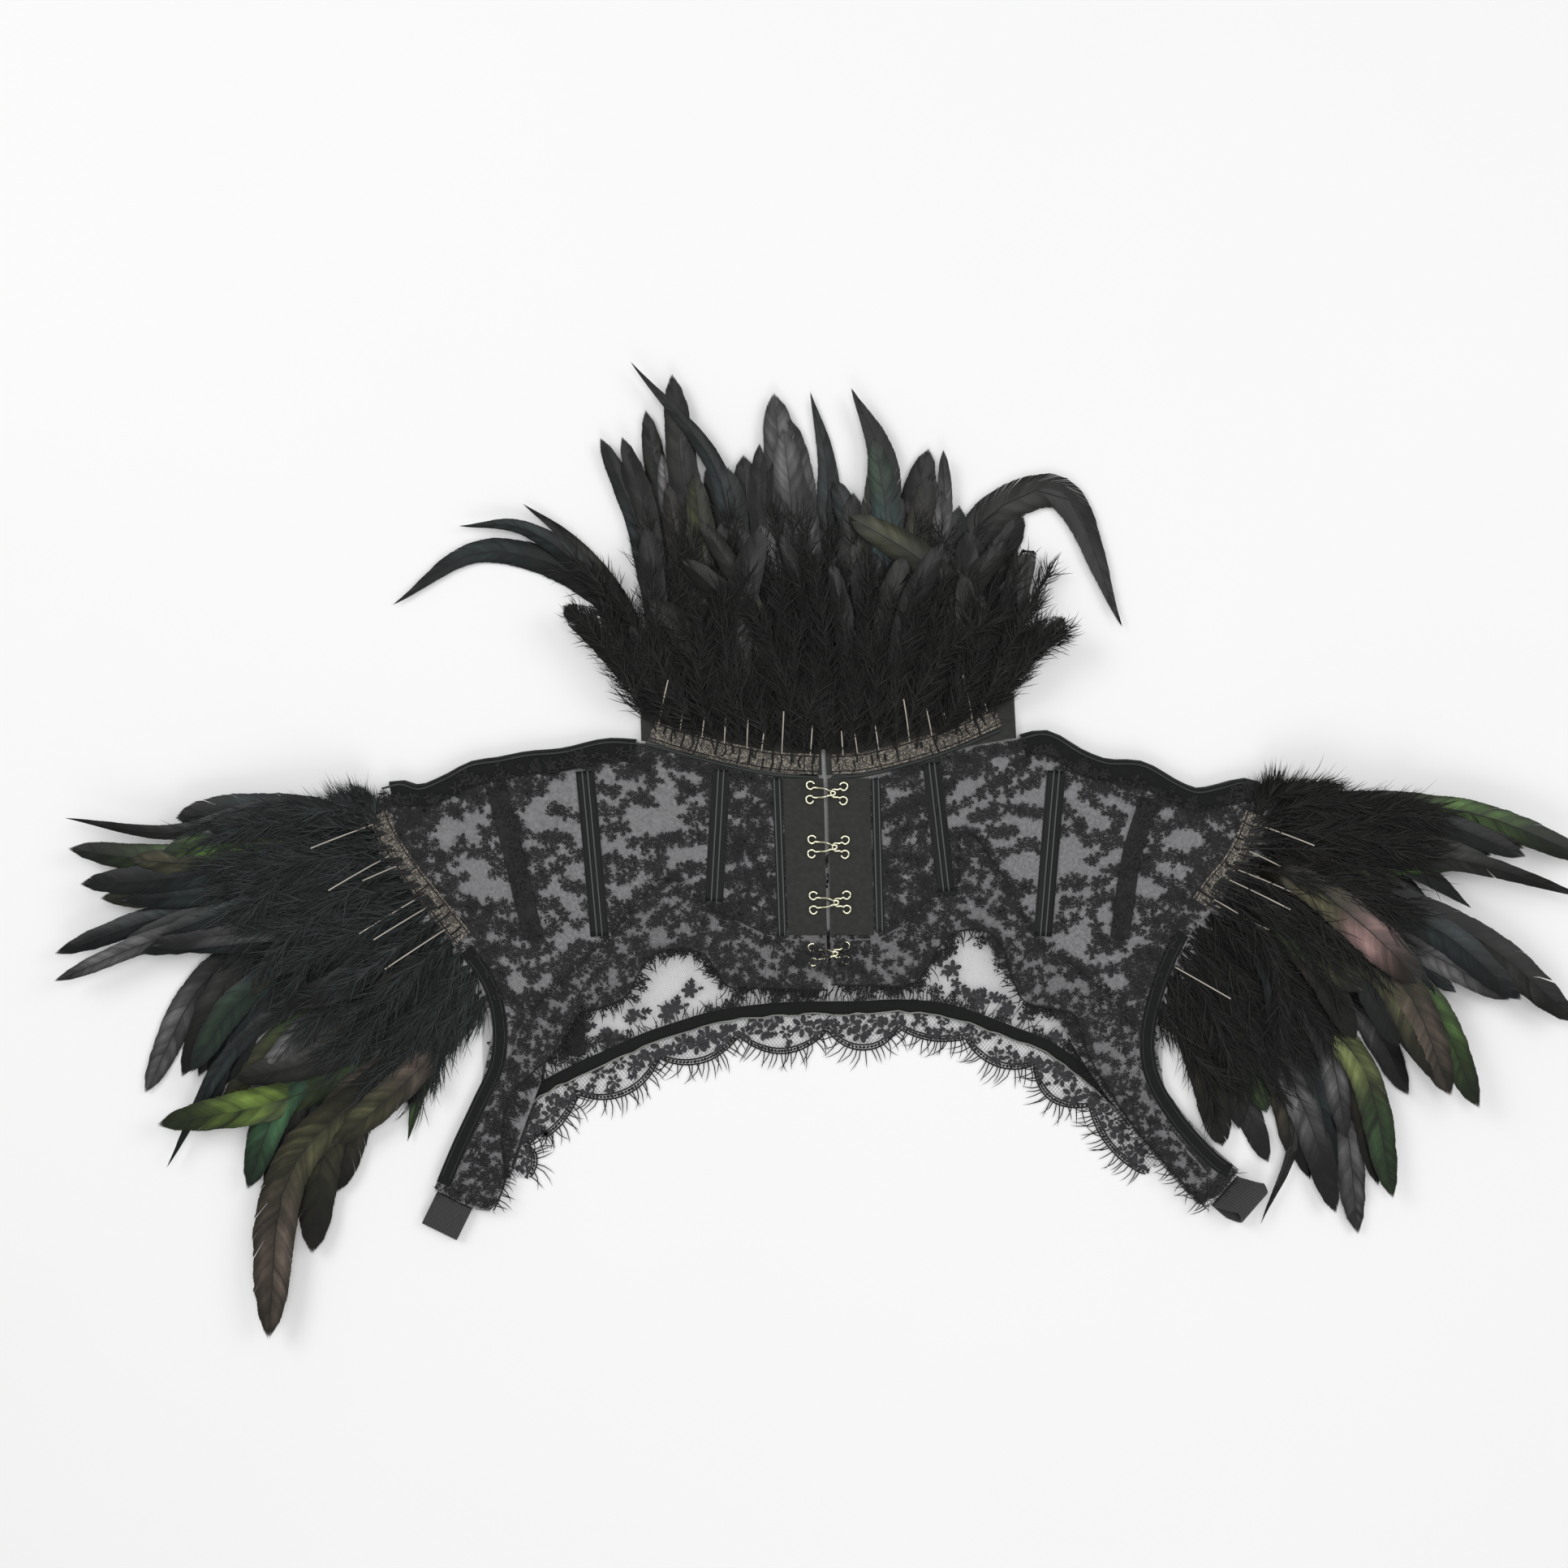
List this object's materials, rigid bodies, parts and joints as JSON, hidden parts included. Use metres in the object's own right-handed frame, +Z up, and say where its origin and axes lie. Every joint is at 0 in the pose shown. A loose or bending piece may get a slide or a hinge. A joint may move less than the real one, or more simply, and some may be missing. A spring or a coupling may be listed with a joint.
{
  "type": "feather cape",
  "caption": "Short black lace cape laid flat, with boned front closed by hooks and eyes, stand collar, and cock-feather trim at collar and armholes.",
  "frame": {"origin": "on the table, under the back panel, on the cape's centre line at the height of the third hook", "axes": "+X to the right as the cape is seen laid flat, +Y towards the collar, +Z up from the table"},
  "size_m": [0.75, 0.476, 0.0161],
  "materials": {
    "lace": "black floral lace over grey net",
    "galloon": "black galloon lace with eyelash edge",
    "net": "sheer black floral lace",
    "satin": "black satin ribbon",
    "velvet": "black velvet ribbon",
    "twill": "matt black twill",
    "elastic": "ribbed black elastic",
    "nickel": "bright nickel plate",
    "feather": "glossy black cock feathers with a green sheen"
  },
  "bodies": {
    "root": {"front_l": "lace", "front_r": "lace", "front_galloon_l": "galloon", "front_galloon_r": "galloon", "back": "net", "back_galloon": "galloon", "back_binding": "velvet", "back_casing_c": "satin", "back_casing_l": "satin", "back_casing_r": "satin", "bone_l1": "satin", "bone_l2": "satin", "bone_l3": "satin", "bone_r1": "satin", "bone_r2": "satin", "bone_r3": "satin", "seam_tape_l": "velvet", "seam_tape_r": "velvet", "facing_l": "twill", "facing_r": "twill", "shoulder_binding_l": "velvet", "shoulder_binding_r": "velvet", "arm_binding_l": "velvet", "arm_binding_r": "velvet", "collar": "twill", "elastic_l": "elastic", "elastic_r": "elastic", "hook_1": "nickel", "eye_1": "nickel", "hook_2": "nickel", "eye_2": "nickel", "hook_3": "nickel", "eye_3": "nickel", "hook_4": "nickel", "eye_4": "nickel", "collar_trim_l": "feather", "collar_trim_r": "feather", "collar_trim_back": "feather", "arm_trim_front_l": "feather", "arm_trim_back_l": "feather", "arm_trim_front_r": "feather", "arm_trim_back_r": "feather"}
  },
  "joints": []
}
